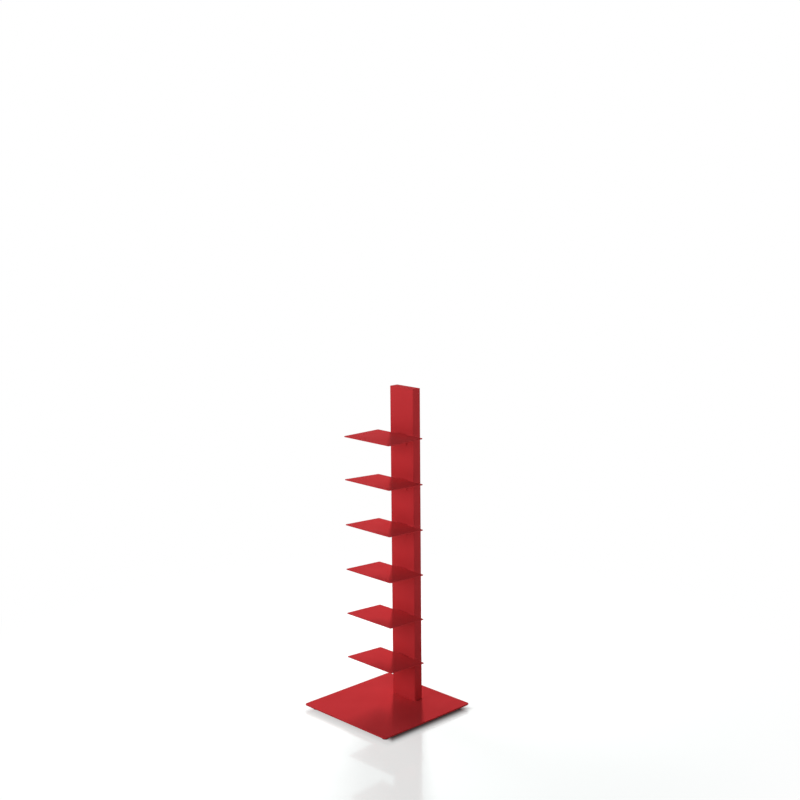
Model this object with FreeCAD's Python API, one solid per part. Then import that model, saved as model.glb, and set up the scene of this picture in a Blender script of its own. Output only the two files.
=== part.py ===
import FreeCAD, Part

import math
import os

# Free-standing spine bookshelf: a square base plate on four levelling feet, one box column
# near its back edge, and six bent sheet shelves screwed to the column's front.
# Millimetres. +Z is up, +X runs along the column's wide face, the shelves project
# towards -Y, and the origin is the bottom centre of the square footprint.

# Base plate
base_side = 345.0
base_thickness = 4.0
base_corner_radius = 8.0
base_floor_gap = 12.0

# Column
column_width = 95.0
column_depth = 30.0
column_wall = 2.0
column_corner_radius = 3.0
column_front = 70.0
tube_length = 938.0
cap_thickness = 2.0

# Shelves
shelf_count = 6
shelf_width = 186.0
shelf_depth = 135.0
shelf_thickness = 2.5
shelf_corner_radius = 4.0
shelf_tilt = 3.1
top_shelf_tilt = 0.0
tongue_width = 41.0
flange_drop = 34.0
flange_corner_radius = 4.0
bend_inner_radius = 2.5
bend_relief = 1.0
edge_radius = 0.5

# Shelf screws (M5 button head) and the flush rivet nuts that take them
shelf_screw_diameter = 5.0
shelf_screw_length = 12.0
shelf_screw_head_diameter = 9.5
shelf_screw_head_height = 2.75
shelf_screw_key = 3.0
shelf_screw_spacing = 20.0
shelf_screw_drop = 17.0
rivet_nut_diameter = 7.0
rivet_nut_head_diameter = 9.0
rivet_nut_head_height = 0.6
rivet_nut_bulge_diameter = 9.6
rivet_nut_bulge_height = 3.0
rivet_nut_length = 11.0

# Column fixing (M8 button head, from below)
block_height = 8.0
column_bolt_count = 3
column_bolt_spacing = 30.0
column_bolt_diameter = 8.0
column_bolt_length = 12.0
column_bolt_head_diameter = 14.0
column_bolt_head_height = 4.4
column_bolt_key = 5.0
washer_diameter = 16.0
washer_thickness = 1.6

# Levelling feet
foot_inset = 25.5
pad_diameter = 20.0
pad_height = 4.0
pad_edge_radius = 0.8
pad_socket_depth = 2.5
stem_diameter = 8.0
spanner_height = 2.0
spanner_across = 13.0
boss_diameter = 14.0
foot_stop_gap = 0.35
stem_end_gap = 0.4

# Fits
hole_clearance = 0.5
running_clearance = 0.05
seat_clearance = 0.1

# Derived levels
base_underside = base_floor_gap
base_top = base_underside + base_thickness
tube_top = base_top + tube_length
column_top = tube_top + cap_thickness
bay_pitch = (column_top - base_top) / (shelf_count + 1)

# Derived places
column_centre = column_front + column_depth / 2
cavity_width = column_width - 2 * column_wall
cavity_depth = column_depth - 2 * column_wall
cavity_corner_radius = max(column_corner_radius - column_wall, 0.1)
bend_outer_radius = bend_inner_radius + shelf_thickness
tray_back = column_front - bend_outer_radius - bend_relief

X_AXIS = FreeCAD.Vector(1, 0, 0)
Y_AXIS = FreeCAD.Vector(0, 1, 0)
Z_AXIS = FreeCAD.Vector(0, 0, 1)


def edges_along(shape, direction):
    """Straight edges of a shape that run along a direction."""
    found = []
    for edge in shape.Edges:
        if not isinstance(edge.Curve, Part.Line):
            continue
        if edge.tangentAt(edge.FirstParameter).cross(direction).Length < 1e-6:
            found.append(edge)
    return found


def rounded_block(width, depth, height, corner_radius):
    """Block on the XY plane, centred in X and Y, with rounded upright corners."""
    block = Part.makeBox(width, depth, height, FreeCAD.Vector(-width / 2, -depth / 2, 0))
    return block.makeFillet(corner_radius, edges_along(block, Z_AXIS))


def soften_outline(plate, radius):
    """Round the top and bottom outline of a flat plate with upright sides."""
    outline = []
    for face in plate.Faces:
        if abs(face.normalAt(0, 0).z) > 0.999:
            outline.extend(face.OuterWire.Edges)
    return plate.makeFillet(radius, outline)


def ring(outer_diameter, bore_diameter, height):
    """Round bush or washer that stands on the XY plane."""
    outer = Part.makeCylinder(outer_diameter / 2, height)
    return outer.cut(Part.makeCylinder(bore_diameter / 2, height))


def hexagon_block(across_flats, height):
    """Hexagonal prism that stands on the XY plane."""
    corner_distance = across_flats / math.sqrt(3)
    corners = []
    for index in range(7):
        angle = math.radians(60 * index)
        x = corner_distance * math.cos(angle)
        y = corner_distance * math.sin(angle)
        corners.append(FreeCAD.Vector(x, y, 0))
    return Part.Face(Part.makePolygon(corners)).extrude(Z_AXIS * height)


def button_screw(diameter, length, head_diameter, head_height, key):
    """Button-head screw whose head stands on the XY plane and whose shank points down."""
    head_radius = head_diameter / 2
    rim_height = head_height * 0.2
    dome = Part.Arc(
        FreeCAD.Vector(head_radius, 0, rim_height),
        FreeCAD.Vector(head_radius * 0.8, 0, head_height * 0.72),
        FreeCAD.Vector(0, 0, head_height),
    ).toShape()
    sides = Part.makePolygon([
        FreeCAD.Vector(0, 0, head_height),
        FreeCAD.Vector(0, 0, -length),
        FreeCAD.Vector(diameter / 2, 0, -length),
        FreeCAD.Vector(diameter / 2, 0, 0),
        FreeCAD.Vector(head_radius, 0, 0),
        FreeCAD.Vector(head_radius, 0, rim_height),
    ])
    profile = Part.Face(Part.Wire([dome] + sides.Edges))
    screw = profile.revolve(FreeCAD.Vector(0, 0, 0), Z_AXIS, 360)
    socket_depth = head_height * 0.6
    socket = hexagon_block(key, socket_depth)
    socket.translate(Z_AXIS * (head_height - socket_depth))
    return screw.cut(socket)


def rivet_nut():
    """Set rivet nut: flush head, shank through the wall, collapsed bulge and threaded end."""
    bore_radius = shelf_screw_diameter / 2 + running_clearance
    body_radius = rivet_nut_diameter / 2
    bulge_radius = rivet_nut_bulge_diameter / 2
    bulge_bottom = column_wall + rivet_nut_bulge_height
    outline = Part.makePolygon([
        FreeCAD.Vector(bore_radius, 0, 0),
        FreeCAD.Vector(rivet_nut_head_diameter / 2, 0, 0),
        FreeCAD.Vector(rivet_nut_head_diameter / 2, 0, -rivet_nut_head_height),
        FreeCAD.Vector(body_radius, 0, -rivet_nut_head_height),
        FreeCAD.Vector(body_radius, 0, -column_wall),
        FreeCAD.Vector(bulge_radius, 0, -column_wall),
        FreeCAD.Vector(bulge_radius, 0, -bulge_bottom),
        FreeCAD.Vector(body_radius, 0, -bulge_bottom),
        FreeCAD.Vector(body_radius, 0, -rivet_nut_length),
        FreeCAD.Vector(bore_radius, 0, -rivet_nut_length),
        FreeCAD.Vector(bore_radius, 0, 0),
    ])
    return Part.Face(outline).revolve(FreeCAD.Vector(0, 0, 0), Z_AXIS, 360)


def shelf_level(number):
    """Height of a shelf's top face at its back edge; shelf 1 is the lowest."""
    return base_top + number * bay_pitch


def foot_places():
    """Name and centre of each foot, the front being the side the shelves point to."""
    reach = base_side / 2 - foot_inset
    places = {}
    for side, x in (("left", -reach), ("right", reach)):
        for end, y in (("front", -reach), ("back", reach)):
            places[f"{end}_{side}"] = FreeCAD.Vector(x, y, 0)
    return places


def column_bolt_places():
    """Centres of the column bolts, in a line along the column's width."""
    first = -column_bolt_spacing * (column_bolt_count - 1) / 2
    return [
        FreeCAD.Vector(first + index * column_bolt_spacing, column_centre, 0)
        for index in range(column_bolt_count)
    ]


def shelf_screw_places():
    """Points on the column's front face where the shelf screws enter."""
    places = []
    for number in range(1, shelf_count + 1):
        height = shelf_level(number) - shelf_screw_drop
        for x in (-shelf_screw_spacing / 2, shelf_screw_spacing / 2):
            places.append(FreeCAD.Vector(x, column_front, height))
    return places


def facing_front(shape, place):
    """Copy of an upright shape laid over so that its top points to -Y, at a place."""
    laid = shape.copy()
    laid.rotate(FreeCAD.Vector(0, 0, 0), X_AXIS, 90)
    laid.translate(place)
    return laid


def make_base_plate():
    plate = rounded_block(base_side, base_side, base_thickness, base_corner_radius)
    plate = soften_outline(plate, edge_radius)
    plate.translate(Z_AXIS * base_underside)
    hole_radius = column_bolt_diameter / 2 + hole_clearance
    for place in column_bolt_places():
        hole = Part.makeCylinder(hole_radius, base_thickness, place + Z_AXIS * base_underside)
        plate = plate.cut(hole)
    return plate


def make_column_tube():
    outer = rounded_block(column_width, column_depth, tube_length, column_corner_radius)
    inner = rounded_block(cavity_width, cavity_depth, tube_length, cavity_corner_radius)
    tube = outer.cut(inner)
    tube.translate(FreeCAD.Vector(0, column_centre, base_top))
    hole_radius = rivet_nut_diameter / 2 + running_clearance
    recess_radius = rivet_nut_head_diameter / 2 + running_clearance
    for place in shelf_screw_places():
        hole = Part.makeCylinder(hole_radius, column_wall, place, Y_AXIS)
        recess = Part.makeCylinder(recess_radius, rivet_nut_head_height, place, Y_AXIS)
        tube = tube.cut(hole.fuse(recess))
    return tube


def make_column_top_cap():
    cap = rounded_block(column_width, column_depth, cap_thickness, column_corner_radius)
    top_edges = max(cap.Faces, key=lambda face: face.CenterOfMass.z).OuterWire.Edges
    cap = cap.makeFillet(edge_radius, top_edges)
    cap.translate(FreeCAD.Vector(0, column_centre, tube_top))
    return cap


def make_column_foot_block():
    width = cavity_width - 2 * seat_clearance
    depth = cavity_depth - 2 * seat_clearance
    block = rounded_block(width, depth, block_height, cavity_corner_radius)
    block.translate(FreeCAD.Vector(0, column_centre, base_top))
    thread_radius = column_bolt_diameter / 2 + running_clearance
    for place in column_bolt_places():
        hole = Part.makeCylinder(thread_radius, block_height, place + Z_AXIS * base_top)
        block = block.cut(hole)
    return block


def make_column_bolts():
    bolt = button_screw(
        column_bolt_diameter,
        column_bolt_length,
        column_bolt_head_diameter,
        column_bolt_head_height,
        column_bolt_key,
    )
    bolt.rotate(FreeCAD.Vector(0, 0, 0), X_AXIS, 180)
    seat = base_underside - washer_thickness
    return Part.makeCompound([bolt.translated(place + Z_AXIS * seat) for place in column_bolt_places()])


def make_column_washers():
    washer = ring(washer_diameter, column_bolt_diameter + 2 * hole_clearance, washer_thickness)
    seat = base_underside - washer_thickness
    return Part.makeCompound([washer.translated(place + Z_AXIS * seat) for place in column_bolt_places()])


def make_shelf_tray(level, tilt):
    """Flat rounded plate whose back edge lies at the tray's back, tipped up at its front."""
    tray = rounded_block(shelf_width, shelf_depth, shelf_thickness, shelf_corner_radius)
    tray = soften_outline(tray, edge_radius)
    tray.translate(FreeCAD.Vector(0, -shelf_depth / 2, -shelf_thickness))
    tray.rotate(FreeCAD.Vector(0, 0, 0), X_AXIS, -tilt)
    tray.translate(FreeCAD.Vector(0, tray_back, level))
    return tray


def make_shelf_tongue(level, tilt):
    """Tongue that leaves the tray's back edge, bends down and lies against the column."""
    lean = math.radians(tilt)
    upward = FreeCAD.Vector(0, math.sin(lean), math.cos(lean))
    forward = FreeCAD.Vector(0, -math.cos(lean), math.sin(lean))
    bend_y = column_front - bend_outer_radius
    flat_run = bend_y + bend_outer_radius * upward.y - tray_back
    bend_z = level - bend_outer_radius * upward.z - flat_run * math.tan(lean)
    bend_centre = FreeCAD.Vector(0, bend_y, bend_z)
    half_turn = math.radians((90 - tilt) / 2)
    middle = FreeCAD.Vector(0, math.cos(half_turn), math.sin(half_turn))

    tray_edge = FreeCAD.Vector(0, tray_back, level)
    root = tray_edge + forward * (edge_radius + shelf_thickness)
    outer_start = bend_centre + upward * bend_outer_radius
    outer_end = bend_centre + Y_AXIS * bend_outer_radius
    inner_start = bend_centre + Y_AXIS * bend_inner_radius
    inner_end = bend_centre + upward * bend_inner_radius
    drop = Z_AXIS * (bend_z - (level - flange_drop))
    outer_bend = Part.Arc(outer_start, bend_centre + middle * bend_outer_radius, outer_end)
    inner_bend = Part.Arc(inner_start, bend_centre + middle * bend_inner_radius, inner_end)
    outline = [
        Part.LineSegment(root, outer_start),
        outer_bend,
        Part.LineSegment(outer_end, outer_end - drop),
        Part.LineSegment(outer_end - drop, inner_start - drop),
        Part.LineSegment(inner_start - drop, inner_start),
        inner_bend,
        Part.LineSegment(inner_end, root - upward * shelf_thickness),
        Part.LineSegment(root - upward * shelf_thickness, root),
    ]
    section = Part.Face(Part.Wire([line.toShape() for line in outline]))
    section.translate(X_AXIS * (-tongue_width / 2))
    tongue = section.extrude(X_AXIS * tongue_width)
    flange_bottom = level - flange_drop
    lower_corners = [
        edge for edge in edges_along(tongue, Y_AXIS)
        if abs(edge.CenterOfMass.z - flange_bottom) < 1e-6
    ]
    return tongue.makeFillet(flange_corner_radius, lower_corners)


def make_shelf(number):
    level = shelf_level(number)
    tilt = top_shelf_tilt if number == shelf_count else shelf_tilt
    shelf = make_shelf_tray(level, tilt).fuse(make_shelf_tongue(level, tilt)).removeSplitter()
    hole_radius = shelf_screw_diameter / 2 + hole_clearance / 2
    for x in (-shelf_screw_spacing / 2, shelf_screw_spacing / 2):
        start = FreeCAD.Vector(x, column_front - shelf_thickness, level - shelf_screw_drop)
        shelf = shelf.cut(Part.makeCylinder(hole_radius, shelf_thickness, start, Y_AXIS))
    return shelf


def make_shelf_screws():
    screw = button_screw(
        shelf_screw_diameter,
        shelf_screw_length,
        shelf_screw_head_diameter,
        shelf_screw_head_height,
        shelf_screw_key,
    )
    seat = Y_AXIS * -shelf_thickness
    return Part.makeCompound([facing_front(screw, place + seat) for place in shelf_screw_places()])


def make_rivet_nuts():
    nut = rivet_nut()
    return Part.makeCompound([facing_front(nut, place) for place in shelf_screw_places()])


def make_foot_bosses():
    bottom = pad_height + running_clearance + spanner_height + foot_stop_gap
    boss = ring(boss_diameter, stem_diameter + 2 * running_clearance, base_underside - bottom)
    return Part.makeCompound([boss.translated(place + Z_AXIS * bottom) for place in foot_places().values()])


def make_foot_pad(place):
    pad = Part.makeCylinder(pad_diameter / 2, pad_height)
    rims = [edge for edge in pad.Edges if isinstance(edge.Curve, Part.Circle)]
    pad = pad.makeFillet(pad_edge_radius, rims)
    socket_radius = stem_diameter / 2 + running_clearance
    socket_floor = Z_AXIS * (pad_height - pad_socket_depth)
    pad = pad.cut(Part.makeCylinder(socket_radius, pad_socket_depth, socket_floor))
    pad.translate(place)
    return pad


def make_foot_stem(place):
    lower_end = pad_height - pad_socket_depth + running_clearance
    upper_end = base_underside - stem_end_gap
    stud = Part.makeCylinder(stem_diameter / 2, upper_end - lower_end, Z_AXIS * lower_end)
    spanner_seat = Z_AXIS * (pad_height + running_clearance)
    stem = stud.fuse(hexagon_block(spanner_across, spanner_height).translated(spanner_seat))
    stem.translate(place)
    return stem


def make_nodes():
    """Every node of the bookshelf, by name."""
    nodes = {
        "base_plate": make_base_plate(),
        "foot_bosses": make_foot_bosses(),
        "column_tube": make_column_tube(),
        "column_top_cap": make_column_top_cap(),
        "column_foot_block": make_column_foot_block(),
        "column_bolts": make_column_bolts(),
        "column_washers": make_column_washers(),
        "shelf_screws": make_shelf_screws(),
        "rivet_nuts": make_rivet_nuts(),
    }
    for number in range(1, shelf_count + 1):
        nodes[f"shelf_{number}"] = make_shelf(number)
    for corner, place in foot_places().items():
        nodes[f"foot_pad_{corner}"] = make_foot_pad(place)
        nodes[f"foot_stem_{corner}"] = make_foot_stem(place)
    return nodes


os.makedirs("parts", exist_ok=True)
for name, shape in make_nodes().items():
    shape.exportStep(f"parts/{name}.step")
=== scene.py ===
"""Looks of the spine bookshelf: finishes, small turned parts, studio and camera round its CAD frame."""

import logging
import math
from dataclasses import dataclass, field
from enum import Enum

import bpy
import numpy as np
from mathutils import Matrix, Vector


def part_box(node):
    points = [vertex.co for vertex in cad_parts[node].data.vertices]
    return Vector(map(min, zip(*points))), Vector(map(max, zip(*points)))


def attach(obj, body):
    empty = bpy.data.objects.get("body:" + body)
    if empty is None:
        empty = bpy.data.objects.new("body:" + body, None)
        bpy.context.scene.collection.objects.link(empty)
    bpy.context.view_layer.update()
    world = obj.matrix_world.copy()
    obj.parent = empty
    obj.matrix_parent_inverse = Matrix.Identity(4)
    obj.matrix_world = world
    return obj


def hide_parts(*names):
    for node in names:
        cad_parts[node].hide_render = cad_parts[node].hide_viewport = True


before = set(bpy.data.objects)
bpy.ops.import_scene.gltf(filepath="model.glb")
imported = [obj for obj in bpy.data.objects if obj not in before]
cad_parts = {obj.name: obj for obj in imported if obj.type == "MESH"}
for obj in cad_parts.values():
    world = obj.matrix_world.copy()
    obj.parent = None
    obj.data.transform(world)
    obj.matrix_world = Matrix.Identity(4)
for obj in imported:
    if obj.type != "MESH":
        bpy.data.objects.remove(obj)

log = logging.getLogger("spine_bookshelf")

MM = 0.001
FULL_TURN = 2 * math.pi
BODY = "frame"
NOISE_MIDDLE = (0.3, 0.7)
EDGE_RINGS = 7
WHITE = (1.0, 1.0, 1.0, 1.0)


class Slot(Enum):
    """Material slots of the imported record."""

    POWDER_COAT = "red_powder_coat"
    SCREW_PAINT = "red_screw_paint"
    ZINC_PLATE = "zinc_plated_steel"
    BARE_STEEL = "plain_steel"
    BLACK_PLASTIC = "black_plastic"


# ---------------------------------------------------------------- node boards


class NodeBoard:
    """A node tree that is laid out by short calls."""

    def __init__(self, tree: bpy.types.NodeTree) -> None:
        """Clears a tree and keeps it.

        Args:
            tree: the node tree of a material or a world.
        """
        self.tree = tree
        tree.nodes.clear()

    def add(self, kind: str, settings: dict | None = None, **sockets: object) -> bpy.types.Node:
        """Adds one node and fills its inputs.

        Args:
            kind: Blender's name of the node type.
            settings: properties of the node itself.
            sockets: inputs by their name, with _ for a space, as a value or an output socket.

        Returns:
            The new node.
        """
        node = self.tree.nodes.new(kind)
        for key, value in (settings or {}).items():
            setattr(node, key, value)
        for key, value in sockets.items():
            socket = node.inputs[key.replace("_", " ")]
            if isinstance(value, bpy.types.NodeSocket):
                self.tree.links.new(value, socket)
            else:
                socket.default_value = value
        return node

    def math(self, operation: str, *values: object) -> bpy.types.NodeSocket:
        """Adds a Math node.

        Args:
            operation: Blender's name of the operation.
            values: its inputs in order, as numbers or output sockets.

        Returns:
            The result socket.
        """
        node = self.tree.nodes.new("ShaderNodeMath")
        node.operation = operation
        for socket, value in zip(node.inputs, values):
            if isinstance(value, bpy.types.NodeSocket):
                self.tree.links.new(value, socket)
            else:
                socket.default_value = value
        return node.outputs[0]

    def noise(self, place: bpy.types.NodeSocket, grain: float, detail: float = 2.0) -> bpy.types.NodeSocket:
        """Adds a Noise Texture whose bumps are about one grain across.

        Args:
            place: the coordinates that it reads.
            grain: size of a bump in metres.
            detail: number of finer octaves.

        Returns:
            The noise value, from 0 to 1.
        """
        node = self.add("ShaderNodeTexNoise", Vector=place, Scale=1 / grain, Detail=detail)
        return node.outputs["Fac"]

    def spread(self, value: bpy.types.NodeSocket, low: float, high: float) -> bpy.types.NodeSocket:
        """Maps the middle stretch of a noise onto low to high.

        Args:
            value: the noise value.
            low: the result at the lower end of the stretch.
            high: the result at its upper end.

        Returns:
            The result socket.
        """
        start, end = NOISE_MIDDLE
        node = self.add(
            "ShaderNodeMapRange", Value=value, From_Min=start, From_Max=end, To_Min=low, To_Max=high
        )
        return node.outputs["Result"]


# ---------------------------------------------------------------- finishes


@dataclass(frozen=True)
class Coating:
    """A sprayed or moulded skin: orange peel over a fine grain, slightly uneven in tone and gloss.

    Sizes and heights are in metres.
    """

    name: str
    colour: tuple[float, float, float]
    roughness: float
    gloss: float
    peel_size: float
    peel_height: float
    grain_size: float
    grain_height: float
    tone_size: float = 0.11
    tone_change: float = 0.035
    gloss_change: float = 0.04
    tone_detail: float = 3.0
    grain_detail: float = 4.0

    def build(self) -> bpy.types.Material:
        """Makes the material and returns it."""
        material = bpy.data.materials.new(self.name)
        material.use_nodes = True
        board = NodeBoard(material.node_tree)
        place = board.add("ShaderNodeTexCoord").outputs["Object"]
        cloud = board.noise(place, self.tone_size, self.tone_detail)
        tone = board.spread(cloud, 1 - self.tone_change, 1 + self.tone_change)
        value = board.add("ShaderNodeHueSaturation", Color=(*self.colour, 1.0), Value=tone)
        roughness = board.spread(
            cloud, self.roughness + self.gloss_change, self.roughness - self.gloss_change
        )
        peel = board.add(
            "ShaderNodeBump",
            Height=board.noise(place, self.peel_size),
            Distance=self.peel_height,
            Strength=1.0,
        )
        grain = board.add(
            "ShaderNodeBump",
            Height=board.noise(place, self.grain_size, self.grain_detail),
            Distance=self.grain_height,
            Strength=1.0,
            Normal=peel.outputs["Normal"],
        )
        shader = board.add(
            "ShaderNodeBsdfPrincipled",
            Base_Color=value.outputs["Color"],
            Roughness=roughness,
            Specular_IOR_Level=self.gloss,
            Normal=grain.outputs["Normal"],
        )
        board.add("ShaderNodeOutputMaterial", Surface=shader.outputs["BSDF"])
        return material


@dataclass(frozen=True)
class PlatedSteel:
    """Zinc plate or bare steel: metal with fine turning marks across its axis and a cloudy dullness.

    Sizes and heights are in metres.
    """

    name: str
    colour: tuple[float, float, float]
    roughness: float
    mark_size: float
    mark_height: float
    cloud_size: float = 0.006
    dullness: float = 0.12
    lightest: float = 1.04
    darkest: float = 0.9
    mark_squeeze: float = 0.15
    cloud_detail: float = 4.0
    mark_detail: float = 3.0

    def build(self) -> bpy.types.Material:
        """Makes the material and returns it."""
        material = bpy.data.materials.new(self.name)
        material.use_nodes = True
        board = NodeBoard(material.node_tree)
        place = board.add("ShaderNodeTexCoord").outputs["Object"]
        cloud = board.noise(place, self.cloud_size, self.cloud_detail)
        roughness = board.spread(cloud, self.roughness, self.roughness + self.dullness)
        tone = board.spread(cloud, self.lightest, self.darkest)
        value = board.add("ShaderNodeHueSaturation", Color=(*self.colour, 1.0), Value=tone)
        squeeze = (self.mark_squeeze, self.mark_squeeze, 1.0)
        squeezed = board.add("ShaderNodeMapping", Vector=place, Scale=squeeze)
        marks = board.add(
            "ShaderNodeBump",
            Height=board.noise(squeezed.outputs["Vector"], self.mark_size, self.mark_detail),
            Distance=self.mark_height,
            Strength=1.0,
        )
        shader = board.add(
            "ShaderNodeBsdfPrincipled",
            Base_Color=value.outputs["Color"],
            Metallic=1.0,
            Roughness=roughness,
            Normal=marks.outputs["Normal"],
        )
        board.add("ShaderNodeOutputMaterial", Surface=shader.outputs["BSDF"])
        return material


class Finishes:
    """The object's finishes, one material for each slot of the record."""

    def __init__(self) -> None:
        """Builds every material."""
        red = (0.50, 0.031, 0.036)
        recipes = {
            Slot.POWDER_COAT: Coating(
                "satin_red_powder_coat",
                red,
                roughness=0.70,
                gloss=0.04,
                peel_size=0.0021,
                peel_height=0.000012,
                grain_size=0.0005,
                grain_height=0.000002,
            ),
            Slot.SCREW_PAINT: Coating(
                "red_screw_paint",
                red,
                roughness=0.55,
                gloss=0.12,
                peel_size=0.0012,
                peel_height=0.000006,
                grain_size=0.0004,
                grain_height=0.000001,
            ),
            Slot.ZINC_PLATE: PlatedSteel(
                "bright_zinc_plate",
                (0.62, 0.63, 0.65),
                roughness=0.26,
                mark_size=0.0004,
                mark_height=0.000004,
            ),
            Slot.BARE_STEEL: PlatedSteel(
                "machined_steel",
                (0.40, 0.40, 0.41),
                roughness=0.38,
                mark_size=0.0007,
                mark_height=0.000008,
            ),
            Slot.BLACK_PLASTIC: Coating(
                "black_moulded_plastic",
                (0.022, 0.022, 0.024),
                roughness=0.55,
                gloss=0.5,
                peel_size=0.0014,
                peel_height=0.00001,
                grain_size=0.0003,
                grain_height=0.000008,
            ),
        }
        self.materials: dict[Slot, bpy.types.Material] = {
            slot: recipe.build() for slot, recipe in recipes.items()
        }

    def dress(self, piece: bpy.types.Object, slot: Slot) -> None:
        """Gives a piece the finish of a slot.

        Args:
            piece: a mesh object, new or carried over.
            slot: the record's material slot.
        """
        piece.data.materials.clear()
        piece.data.materials.append(self.materials[slot])


# ---------------------------------------------------------------- turned surfaces


class Closing(Enum):
    """How a turned surface closes."""

    POLES = "its first and last ring each run to a point on the axis"
    LOOP = "its last ring joins its first, as on a washer"


class Facing(Enum):
    """Directions of a turned piece: its side, across and along its axis, a right-handed set."""

    UP = ((1, 0, 0), (0, 1, 0), (0, 0, 1))
    DOWN = ((1, 0, 0), (0, -1, 0), (0, 0, -1))
    FRONT = ((1, 0, 0), (0, 0, 1), (0, -1, 0))


@dataclass(frozen=True)
class TurnedShape:
    """A closed surface round an axis, as radius and height over rings and columns.

    The rings run up the outside and then inwards over the top, so that every face points outwards.
    """

    radius: np.ndarray
    height: np.ndarray
    closing: Closing = Closing.POLES

    @staticmethod
    def angles(columns: int) -> np.ndarray:
        """Angles of the columns: one full turn, with no column twice."""
        return np.arange(columns) * (FULL_TURN / columns)

    @classmethod
    def stacked(cls, columns: int, *bands: tuple, closing: Closing = Closing.POLES) -> "TurnedShape":
        """Stacks bands of rings into one shape.

        Args:
            columns: number of columns.
            bands: radius and height of each band: a number is a plain ring, a vector over the columns is a
                shaped ring, and an array of rings by columns, or by one column, is several rings.
            closing: how the shape closes.

        Returns:
            The shape.
        """
        blank = np.zeros((1, columns))
        grids = [np.broadcast_arrays(np.atleast_2d(r), np.atleast_2d(h), blank) for r, h in bands]
        return cls(np.vstack([grid[0] for grid in grids]), np.vstack([grid[1] for grid in grids]), closing)

    def points(self, facing: Facing) -> np.ndarray:
        """Places the rings: height * along + radius * (cos(angle) * side + sin(angle) * across).

        Args:
            facing: the directions of the shape.

        Returns:
            Points as rings by columns by 3.
        """
        side, across, along = (np.array(direction, float) for direction in facing.value)
        angle = self.angles(self.radius.shape[1])[None, :, None]
        outwards = np.cos(angle) * side + np.sin(angle) * across
        return self.height[..., None] * along + self.radius[..., None] * outwards

    def faces(self) -> tuple[np.ndarray, np.ndarray]:
        """Returns the quads between the rings and the triangles that close the poles, as point numbers."""
        rings, columns = self.radius.shape
        index = np.arange(rings * columns).reshape(rings, columns)
        if self.closing is Closing.LOOP:
            index = np.vstack((index, index[:1]))
        onward = np.roll(index, -1, axis=1)
        quads = np.stack((index[:-1], onward[:-1], onward[1:], index[1:]), axis=-1).reshape(-1, 4)
        if self.closing is Closing.LOOP:
            return quads, np.zeros((0, 3), int)
        low_pole, high_pole = np.full(columns, rings * columns), np.full(columns, rings * columns + 1)
        low = np.stack((onward[0], index[0], low_pole), axis=-1)
        high = np.stack((index[-1], onward[-1], high_pole), axis=-1)
        return quads, np.vstack((low, high))

    def make(
        self, name: str, places: np.ndarray, facing: Facing, crease_deg: float = 25.0
    ) -> bpy.types.Object:
        """Makes copies of the shape as one mesh object.

        Args:
            name: name of the piece.
            places: the foot of the axis of each copy, copies by 3, in metres.
            facing: the directions of the shape.
            crease_deg: angle between two faces from which their edge is sharp.

        Returns:
            The object, linked to the scene.
        """
        grid = self.points(facing)
        points = grid.reshape(-1, 3)
        if self.closing is Closing.POLES:
            along = np.array(facing.value[2], float)
            points = np.vstack((points, along * self.height[0].mean(), along * self.height[-1].mean()))
        quads, triangles = self.faces()
        shift = (np.arange(len(places)) * len(points))[:, None, None]
        everywhere = (places[:, None, :] + points[None]).reshape(-1, 3)
        faces = (quads + shift).reshape(-1, 4).tolist() + (triangles + shift).reshape(-1, 3).tolist()
        mesh = bpy.data.meshes.new(name)
        mesh.from_pydata(everywhere.tolist(), [], faces)
        mesh.polygons.foreach_set("use_smooth", np.ones(len(mesh.polygons), bool))
        mesh.set_sharp_from_angle(angle=math.radians(crease_deg))
        piece = bpy.data.objects.new(name, mesh)
        bpy.context.scene.collection.objects.link(piece)
        return piece


def quarter_round(corner_radius: float, corner_height: float, size: float, start_deg: float) -> tuple:
    """Rings of a rounded edge: a quarter circle round a centre, from an angle upwards or inwards.

    Args:
        corner_radius: distance of the quarter circle's centre from the axis.
        corner_height: height of that centre.
        size: radius of the quarter circle.
        start_deg: angle at which it starts, 0 pointing outwards and 90 up.

    Returns:
        Radius and height as columns of rings.
    """
    bend = np.radians(np.linspace(start_deg, start_deg + 90, EDGE_RINGS))[:, None]
    return corner_radius + size * np.cos(bend), corner_height + size * np.sin(bend)


def hexagon_radius(across_flats: float, columns: int) -> np.ndarray:
    """Radius of a hexagon: half its width across flats / cos(angle from the middle of the flat)."""
    from_flat = np.mod(TurnedShape.angles(columns), FULL_TURN / 6) - FULL_TURN / 12
    return across_flats / 2 / np.cos(from_flat)


def centres(*values: tuple[float, float, float]) -> np.ndarray:
    """Points as an array of copies by 3."""
    return np.array(values, float)


# ---------------------------------------------------------------- small parts


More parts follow.
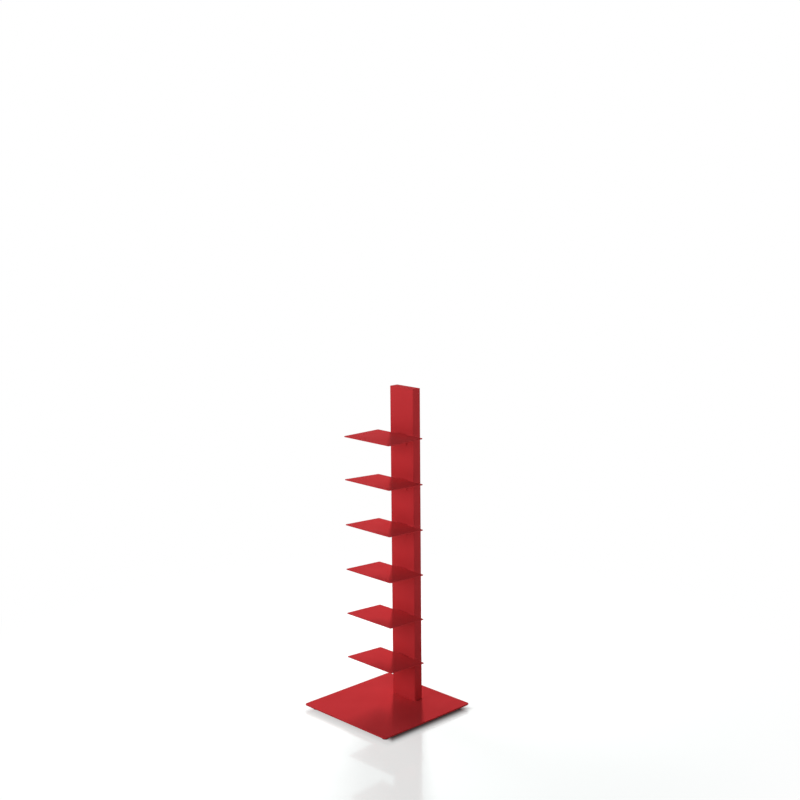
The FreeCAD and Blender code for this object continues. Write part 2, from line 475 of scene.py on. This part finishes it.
@dataclass(frozen=True)
class ButtonScrew:
    """Button-head screw whose head stands on its seat, with a hexagon socket."""

    diameter: float
    length: float
    head_diameter: float
    head_height: float
    key: float
    rim_share: float = 0.2
    socket_floor_share: float = 0.4
    edge: float = 0.25 * MM
    tip_chamfer: float = 0.6 * MM
    dome_rings: int = 12
    columns: int = 72

    def shape(self) -> TurnedShape:
        """Works out the screw.

        The dome is an ellipse over the head's radius: rim + (height - rim) * sqrt(1 - (radius / head
        radius)^2). Its rings shrink evenly from the head's round rim to the hexagon of the socket.

        Returns:
            The shape, with height 0 at the seat and the shank below it.
        """
        shank, head = self.diameter / 2, self.head_diameter / 2
        rim, edge, tip = self.rim_share * self.head_height, self.edge, self.tip_chamfer
        socket = hexagon_radius(self.key, self.columns)[None, :]
        mouth = socket + edge
        inwards = np.linspace(0, 1, self.dome_rings)[:, None]
        dome_radius = head + (mouth - head) * inwards
        dome = rim + (self.head_height - rim) * np.sqrt(np.clip(1 - (dome_radius / head) ** 2, 0, 1))
        floor = self.socket_floor_share * self.head_height
        return TurnedShape.stacked(
            self.columns,
            (shank - tip, -self.length),
            (shank, -self.length + tip),
            (shank, 0.0),
            (head - edge, 0.0),
            (head, edge),
            (dome_radius, dome),
            (socket, dome[-1] - edge),
            (socket, floor),
        )


@dataclass(frozen=True)
class Washer:
    """Flat washer with slightly rounded edges."""

    outer: float
    bore: float
    thickness: float
    edge: float = 0.2 * MM
    columns: int = 64

    def shape(self) -> TurnedShape:
        """Works out the washer: up the rim, over the top, down the bore, and joined to itself."""
        outer, bore, top, edge = self.outer / 2, self.bore / 2, self.thickness, self.edge
        return TurnedShape.stacked(
            self.columns,
            quarter_round(outer - edge, edge, edge, -90),
            quarter_round(outer - edge, top - edge, edge, 0),
            (bore + edge, top),
            (bore, top - edge),
            (bore, edge),
            (bore + edge, 0.0),
            closing=Closing.LOOP,
        )


@dataclass(frozen=True)
class WeldedBoss:
    """Threaded bush with a rippled fillet weld round its root. It points down from the plate."""

    outer: float
    bore: float
    height: float
    edge: float = 0.5 * MM
    weld_leg: float = 2.6 * MM
    weld_rings: int = 9
    bulge_share: float = 0.35
    ripples: int = 26
    ripple_depth: float = 0.14 * MM
    crescent_reach: float = 0.9
    columns: int = 260

    def shape(self) -> TurnedShape:
        """Works out the boss and its weld.

        The weld bulges between its two toes: at a share t of the way its radius is outer + leg * (1 - sin(90
        t)) and its height is leg * (1 - cos(90 t)), swollen in the middle by bulge share * leg * sin(180 t).
        Each ripple is a crescent that swells fast and fades slowly.

        Returns:
            The shape, with height 0 at the plate and the boss growing along the axis.
        """
        outer, bore, edge = self.outer / 2, self.bore / 2, self.edge
        share = np.linspace(0, 1, self.weld_rings)[:, None]
        crescent = self.crescent_reach * np.sin(np.pi * share)
        angle = TurnedShape.angles(self.columns)[None, :]
        ripple = np.mod(angle * self.ripples / FULL_TURN - crescent, 1.0)
        swell = self.ripple_depth * np.sin(np.pi * np.sqrt(ripple)) * np.sin(np.pi * share)
        bulge = self.bulge_share * self.weld_leg * np.sin(np.pi * share) / math.sqrt(2) + swell
        weld_radius = outer + self.weld_leg * (1 - np.sin(share * np.pi / 2)) + bulge
        weld_height = self.weld_leg * (1 - np.cos(share * np.pi / 2)) + bulge
        return TurnedShape.stacked(
            self.columns,
            (weld_radius, weld_height),
            (outer, self.height - edge),
            (outer - edge, self.height),
            (bore + edge, self.height),
            (bore, self.height - edge),
            (bore, 0.0),
            closing=Closing.LOOP,
        )


@dataclass(frozen=True)
class FootPad:
    """Moulded foot pad: a disc with grip flutes, a recessed underside and a socket for the stem."""

    diameter: float
    height: float
    socket: float
    socket_depth: float
    edge: float = 0.8 * MM
    recess: float = 0.3 * MM
    recess_share: float = 0.45
    side_rings: int = 9
    flutes: int = 24
    flute_depth: float = 0.35 * MM
    columns: int = 192

    def shape(self) -> TurnedShape:
        """Works out the pad.

        The side's radius is cut by flute depth * max(0, cos(flutes * angle))^3 * sqrt(sin(180 t)), where t
        is the share of the way up the side, so that the flutes fade towards both edges.

        Returns:
            The shape, with height 0 on the floor.
        """
        radius, socket, edge, recess = self.diameter / 2, self.socket / 2, self.edge, self.recess
        hollow = self.recess_share * radius
        wave = np.clip(np.cos(self.flutes * TurnedShape.angles(self.columns)), 0, 1)[None, :]
        flute = self.flute_depth * wave**3
        share = np.linspace(0, 1, self.side_rings)[:, None]
        side = radius - flute * np.sin(np.pi * share) ** 0.5
        side_height = edge + (self.height - 2 * edge) * share
        return TurnedShape.stacked(
            self.columns,
            (hollow, recess),
            (hollow + recess, 0.0),
            quarter_round(radius - edge, edge, edge, -90),
            (side, side_height),
            quarter_round(radius - edge, self.height - edge, edge, 0),
            (socket + recess, self.height),
            (socket, self.height - recess),
            (socket, self.height - self.socket_depth),
        )


@dataclass(frozen=True)
class FootStem:
    """Threaded stem with a spanner hexagon, cut with a metric thread above it.

    The thread's depth, and where its root ends and its crest starts from the middle of the root, are shares
    of the pitch. The hexagon's face is a share of its width across flats.
    """

    diameter: float
    low: float
    high: float
    hexagon: float
    hexagon_low: float
    hexagon_height: float
    thread_pitch: float = 1.25 * MM
    thread_depth: float = 0.6134
    root_until: float = 0.125
    crest_from: float = 0.4375
    face_share: float = 0.48
    chamfer_deg: float = 30.0
    low_chamfer: float = 0.5 * MM
    high_chamfer: float = 1.0 * MM
    columns: int = 96
    rings_in_a_pitch: int = 20

    def shape(self) -> TurnedShape:
        """Works out the stem.

        The hexagon is chamfered by a cone: its faces are circles, and each chamfer is as high as the
        hexagon's radius stands out beyond that circle, times the tangent of the cone's angle. The thread's
        radius falls from crest to root and back with the fractional part of height / pitch - angle / turn: a
        flat crest of an eighth of the pitch, and a flat root of a quarter.

        Returns:
            The shape, with heights above the floor.
        """
        crest, depth = self.diameter / 2, self.thread_depth * self.thread_pitch
        low, top = self.hexagon_low, self.hexagon_low + self.hexagon_height
        face = self.face_share * self.hexagon
        flats = hexagon_radius(self.hexagon, self.columns)[None, :]
        chamfer = (flats - face) * math.tan(math.radians(self.chamfer_deg))
        count = round((self.high - top) / self.thread_pitch * self.rings_in_a_pitch)
        height = np.linspace(top, self.high, count)[:, None]
        angle = TurnedShape.angles(self.columns)[None, :]
        turn = np.mod(height / self.thread_pitch - angle / FULL_TURN, 1.0)
        groove = np.clip((self.crest_from - np.abs(turn - 0.5)) / (self.crest_from - self.root_until), 0, 1)
        thread = np.minimum(crest - depth * groove, crest - self.high_chamfer + (self.high - height))
        return TurnedShape.stacked(
            self.columns,
            (crest - self.low_chamfer, self.low),
            (crest, self.low + self.low_chamfer),
            (crest, low),
            (face, low),
            (flats, low + chamfer),
            (flats, top - chamfer),
            (face, top),
            (thread, height),
        )


# ---------------------------------------------------------------- sub-assemblies


@dataclass
class SubAssembly:
    """Pieces that are dressed, or made new and stood for their carried-over nodes, in one body."""

    finishes: Finishes

    def dress_nodes(self, slot: Slot, *names: str) -> None:
        """Gives carried-over nodes the finish of a slot.

        Args:
            slot: the record's material slot.
            names: the nodes.
        """
        for name in names:
            self.finishes.dress(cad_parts[name], slot)
            log.info("%s: carried over, %s", name, slot.value)

    def stand_for(self, node: str, body: str, slot: Slot, piece: bpy.types.Object) -> None:
        """Makes a new piece take a node's place.

        Args:
            node: the node that it replaces.
            body: the body that it rides on.
            slot: the record's material slot.
            piece: the new piece.
        """
        self.finishes.dress(piece, slot)
        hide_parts(node)
        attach(piece, body)
        log.info("%s: stands for %s, %d faces", piece.name, node, len(piece.data.polygons))


@dataclass
class BaseAndColumn(SubAssembly):
    """Base plate, column tube, top cap and the block welded inside the tube, with the bolts below them."""

    bolt_diameter: float = 8 * MM
    bolt_length: float = 12 * MM
    bolt_head_diameter: float = 14 * MM
    bolt_head_height: float = 4.4 * MM
    bolt_key: float = 5 * MM
    bolt_spacing: float = 30 * MM
    washer_outer: float = 16 * MM
    washer_bore: float = 9 * MM

    def bolt_places(self, height: float) -> np.ndarray:
        """Points under the column where its bolts go, in a line along its width.

        Args:
            height: height of the points.

        Returns:
            Three points, by 3.
        """
        low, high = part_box("column_tube")
        y = (low.y + high.y) / 2
        return centres(*((shift * self.bolt_spacing, y, height) for shift in (-1, 0, 1)))

    def build(self) -> None:
        """Dresses the plates and the tube, and makes the bolts and washers."""
        self.dress_nodes(Slot.POWDER_COAT, "base_plate", "column_tube", "column_top_cap")
        self.dress_nodes(Slot.BARE_STEEL, "column_foot_block")
        low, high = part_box("column_washers")
        bolt = ButtonScrew(
            self.bolt_diameter,
            self.bolt_length,
            self.bolt_head_diameter,
            self.bolt_head_height,
            self.bolt_key,
        )
        bolts = bolt.shape().make("column_button_bolts", self.bolt_places(low.z), Facing.DOWN)
        self.stand_for("column_bolts", BODY, Slot.ZINC_PLATE, bolts)
        washer = Washer(self.washer_outer, self.washer_bore, high.z - low.z)
        washers = washer.shape().make("column_bolt_washers", self.bolt_places(low.z), Facing.UP)
        self.stand_for("column_washers", BODY, Slot.ZINC_PLATE, washers)


@dataclass
class Shelves(SubAssembly):
    """Bent sheet shelves, their screws, and the nuts in the column that the screws turn into."""

    count: int = 6
    screw_diameter: float = 5 * MM
    screw_length: float = 12 * MM
    screw_head_diameter: float = 9.5 * MM
    screw_head_height: float = 2.75 * MM
    screw_key: float = 3 * MM
    screw_spacing: float = 20 * MM
    screw_drop: float = 17 * MM
    sheet: float = 2.5 * MM

    def screw_places(self) -> np.ndarray:
        """Points on the shelves' flanges where the screw heads seat, two for each shelf, by 3."""
        base_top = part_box("base_plate")[1].z
        pitch = (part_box("column_top_cap")[1].z - base_top) / (self.count + 1)
        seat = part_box("column_tube")[0].y - self.sheet
        levels = base_top + pitch * np.arange(1, self.count + 1) - self.screw_drop
        sides = np.array((-0.5, 0.5)) * self.screw_spacing
        x, z = (grid.ravel() for grid in np.meshgrid(sides, levels))
        return np.column_stack((x, np.full(x.size, seat), z))

    def build(self) -> None:
        """Dresses the shelves and their nuts, and makes the screws."""
        self.dress_nodes(Slot.POWDER_COAT, *(f"shelf_{number}" for number in range(1, self.count + 1)))
        self.dress_nodes(Slot.ZINC_PLATE, "rivet_nuts")
        screw = ButtonScrew(
            self.screw_diameter,
            self.screw_length,
            self.screw_head_diameter,
            self.screw_head_height,
            self.screw_key,
        )
        screws = screw.shape().make("shelf_button_screws", self.screw_places(), Facing.FRONT)
        self.stand_for("shelf_screws", BODY, Slot.SCREW_PAINT, screws)


@dataclass
class LevellingFeet(SubAssembly):
    """Four levelling feet: a boss welded under the plate, a threaded stem that turns in it, and a pad."""

    corners: tuple[str, ...] = ("front_left", "back_left", "front_right", "back_right")
    boss_outer: float = 14 * MM
    boss_bore: float = 8.1 * MM
    stem_diameter: float = 8 * MM
    socket_depth: float = 2.5 * MM
    socket_play: float = 0.1 * MM
    hexagon: float = 13 * MM
    hexagon_height: float = 2 * MM
    hexagon_gap: float = 0.05 * MM

    def place(self, corner: str, height: float = 0.0) -> tuple[float, float, float]:
        """Centre of a foot at a height.

        Args:
            corner: which foot.
            height: height of the point.

        Returns:
            The point.
        """
        low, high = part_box(f"foot_pad_{corner}")
        return ((low.x + high.x) / 2, (low.y + high.y) / 2, height)

    def build(self) -> None:
        """Makes the bosses, and a pad and a stem for each foot."""
        low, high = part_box("foot_bosses")
        boss = WeldedBoss(self.boss_outer, self.boss_bore, high.z - low.z)
        places = centres(*(self.place(corner, high.z) for corner in self.corners))
        bosses = boss.shape().make("welded_foot_bosses", places, Facing.DOWN)
        self.stand_for("foot_bosses", BODY, Slot.POWDER_COAT, bosses)
        for corner in self.corners:
            self.build_foot(corner)

    def build_foot(self, corner: str) -> None:
        """Makes one foot's pad and stem.

        Args:
            corner: which foot.
        """
        place = centres(self.place(corner))
        low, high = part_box(f"foot_pad_{corner}")
        pad_top = high.z
        pad = FootPad(high.x - low.x, pad_top, self.stem_diameter + self.socket_play, self.socket_depth)
        piece = pad.shape().make(f"moulded_pad_{corner}", place, Facing.UP)
        self.stand_for(f"foot_pad_{corner}", f"foot_pad_{corner}_body", Slot.BLACK_PLASTIC, piece)
        low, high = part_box(f"foot_stem_{corner}")
        stem = FootStem(
            self.stem_diameter, low.z, high.z, self.hexagon, pad_top + self.hexagon_gap, self.hexagon_height
        )
        piece = stem.shape().make(f"threaded_stem_{corner}", place, Facing.UP)
        self.stand_for(f"foot_stem_{corner}", f"foot_stem_{corner}_body", Slot.ZINC_PLATE, piece)


# ---------------------------------------------------------------- studio


@dataclass(frozen=True)
class SoftBox:
    """A soft rectangular lamp that stands round the object and faces its middle.

    The heading is counted from +X towards +Y. A lamp that isn't in gloss shows in no reflection.
    """

    name: str
    heading_deg: float
    rise_deg: float
    power: float
    width: float = 1.4
    height: float = 1.4
    distance: float = 3.0
    aim: tuple[float, float, float] = (0.0, 0.0, 0.45)
    in_gloss: bool = True

    def build(self) -> None:
        """Makes the lamp."""
        lamp = bpy.data.lights.new(self.name, "AREA")
        lamp.shape = "RECTANGLE"
        lamp.size = self.width
        lamp.size_y = self.height
        lamp.energy = self.power
        holder = bpy.data.objects.new(self.name, lamp)
        heading, rise = math.radians(self.heading_deg), math.radians(self.rise_deg)
        level = math.cos(rise)
        away = Vector((level * math.cos(heading), level * math.sin(heading), math.sin(rise)))
        holder.location = Vector(self.aim) + self.distance * away
        holder.rotation_euler = (-away).to_track_quat("-Z", "Y").to_euler()
        holder.visible_glossy = self.in_gloss
        bpy.context.scene.collection.objects.link(holder)


@dataclass(frozen=True)
class ViewPoint:
    """The camera: where it stands, where it looks, its lens and how far it sees, in metres."""

    place: tuple[float, float, float] = (2.7694, -2.6229, 1.6306)
    heading_deg: float = 45.857
    down_deg: float = 10.427
    roll_deg: float = -0.512
    lens_mm: float = 61.47
    sensor_mm: float = 36.0
    reach: float = 100.0

    def build(self) -> None:
        """Makes the scene's camera."""
        data = bpy.data.cameras.new("camera")
        data.sensor_width = self.sensor_mm
        data.lens = self.lens_mm
        data.clip_end = self.reach
        camera = bpy.data.objects.new("camera", data)
        heading = Matrix.Rotation(math.radians(self.heading_deg), 4, "Z")
        tilt = Matrix.Rotation(math.radians(90 - self.down_deg), 4, "X")
        roll = Matrix.Rotation(math.radians(self.roll_deg), 4, "Z")
        camera.matrix_world = Matrix.Translation(self.place) @ heading @ tilt @ roll
        bpy.context.scene.collection.objects.link(camera)
        bpy.context.scene.camera = camera


@dataclass
class Studio:
    """A plain white room: floor, even surroundings and soft boxes. Distances are in metres.

    The floor glows faintly for rays that show it, so that it looks white, but not under the base, which
    leaves a painted shadow round the base. The glow sets in from one outline round the base to the next, and
    sooner at the front, as painted light under the front edge, where most light comes from.
    Between two circles further out the floor turns plain white. sky_light and floor_light are the strengths
    at which the surroundings and that plain white floor light the object. Where they are seen, both are 1.
    """

    floor_half: float = 30.0
    floor_tone: tuple[float, float, float] = (0.55, 0.578, 0.572)
    floor_roughness: float = 0.07
    floor_gloss: float = 0.5
    glow_tone: tuple[float, float, float] = (0.985, 1.0, 0.993)
    glow: float = 0.50
    # Painted shadow: the glow is held back inside the first outline round the base and is full from the
    # second.
    painted_shadow_fade_from: float = 0.155
    painted_shadow_fade_at: float = 0.19
    # Painted light: how much sooner the glow sets in at the front, under the base's front edge.
    painted_light_front_shift: float = 0.028
    white_from: float = 0.5
    white_at: float = 1.6
    sky_light: float = 0.12
    floor_light: float = 1.0
    soft_boxes: list[SoftBox] = field(default_factory=lambda: [
        SoftBox("front_left_box", -115.0, 18.0, 98.0, width=2.1, height=2.1, distance=4.5),
        SoftBox("left_box", 180.0, 40.0, 22.0),
        SoftBox("right_box", -30.0, 25.0, 33.0, width=2.1, height=2.1, distance=4.5),
        SoftBox("back_strip", 134.0, 29.0, 84.0, width=0.22, height=1.6, in_gloss=False),
    ])

    def seen_or_lit(self, board: NodeBoard, seen: float, lit: float) -> bpy.types.NodeSocket:
        """Chooses a strength by what a ray is for.

        Args:
            board: the node board to add to.
            seen: strength for rays that show the surroundings: from the camera, in gloss or through glass.
            lit: strength for rays that only bring light.

        Returns:
            The strength.
        """
        path = board.add("ShaderNodeLightPath").outputs
        either = board.math("MAXIMUM", path["Is Camera Ray"], path["Is Glossy Ray"])
        shows = board.math("MAXIMUM", either, path["Is Transmission Ray"])
        return board.add("ShaderNodeMapRange", Value=shows, To_Min=lit, To_Max=seen).outputs["Result"]

    def build_floor(self) -> None:
        """Makes the floor: a pale sheet that takes the object's shadow, with a painted shadow round the base,
        and turns plain white further out.
        """
        half = self.floor_half
        corners = np.array(((-half, -half), (half, -half), (half, half), (-half, half)))
        points = np.hstack((corners, np.zeros((4, 1))))
        mesh = bpy.data.meshes.new("floor")
        mesh.from_pydata(points.tolist(), [], [(0, 1, 2, 3)])
        floor = bpy.data.objects.new("floor", mesh)
        bpy.context.scene.collection.objects.link(floor)
        material = bpy.data.materials.new("white_floor")
        material.use_nodes = True
        board = NodeBoard(material.node_tree)
        place = board.add("ShaderNodeTexCoord").outputs["Object"]
        away = board.add("ShaderNodeVectorMath", {"operation": "LENGTH"}, Vector=place).outputs["Value"]
        # Painted shadow: the glow is held back inside an outline round the base and rises just outside it.
        sides = board.add("ShaderNodeSeparateXYZ", Vector=place).outputs
        # Painted light: the outline is pushed forward, so the glow reaches under the front edge of the base.
        front = board.math("SUBTRACT", self.painted_light_front_shift, sides["Y"])
        sideways = board.math("ABSOLUTE", sides["X"])
        painted_shadow_outline = board.math("MAXIMUM", sideways, board.math("MAXIMUM", front, sides["Y"]))
        # The first ramp is the painted shadow round the base; the second turns the far floor plain white.
        rise, outward = (
            board.add(
                "ShaderNodeMapRange",
                {"interpolation_type": "SMOOTHERSTEP"},
                Value=distance,
                From_Min=start,
                From_Max=end,
                To_Max=most,
            ).outputs["Result"]
            for distance, start, end, most in (
                (painted_shadow_outline, self.painted_shadow_fade_from, self.painted_shadow_fade_at, self.glow),
                (away, self.white_from, self.white_at, 1.0),
            )
        )
        shows = self.seen_or_lit(board, 1.0, 0.0)
        sheet = board.add(
            "ShaderNodeBsdfPrincipled",
            Base_Color=(*self.floor_tone, 1.0),
            Roughness=self.floor_roughness,
            Specular_IOR_Level=self.floor_gloss,
            Emission_Color=(*self.glow_tone, 1.0),
            Emission_Strength=board.math("MULTIPLY", rise, shows),
        )
        strength = self.seen_or_lit(board, 1.0, self.floor_light)
        plain = board.add("ShaderNodeEmission", Color=WHITE, Strength=strength)
        both = board.add("ShaderNodeMixShader", Fac=outward)
        board.tree.links.new(sheet.outputs["BSDF"], both.inputs[1])
        board.tree.links.new(plain.outputs["Emission"], both.inputs[2])
        board.add("ShaderNodeOutputMaterial", Surface=both.outputs["Shader"])
        mesh.materials.append(material)

    def build_surroundings(self) -> None:
        """Makes the world: white where it is seen, and an even soft light where it only lights."""
        world = bpy.data.worlds.new("white_room")
        bpy.context.scene.world = world
        world.use_nodes = True
        board = NodeBoard(world.node_tree)
        strength = self.seen_or_lit(board, 1.0, self.sky_light)
        white = board.add("ShaderNodeBackground", Color=WHITE, Strength=strength)
        board.add("ShaderNodeOutputWorld", Surface=white.outputs["Background"])

    def build(self) -> None:
        """Makes the floor, the surroundings, the lamps and the camera."""
        self.build_floor()
        self.build_surroundings()
        for box in self.soft_boxes:
            box.build()
        ViewPoint().build()
        bpy.context.scene.view_settings.view_transform = "Standard"
        log.info("studio: %d soft boxes", len(self.soft_boxes))


def main() -> None:
    logging.basicConfig(level=logging.INFO, format="%(name)s: %(message)s")
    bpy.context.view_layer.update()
    finishes = Finishes()
    BaseAndColumn(finishes).build()
    Shelves(finishes).build()
    LevellingFeet(finishes).build()
    Studio().build()


if __name__ == "__main__":
    main()
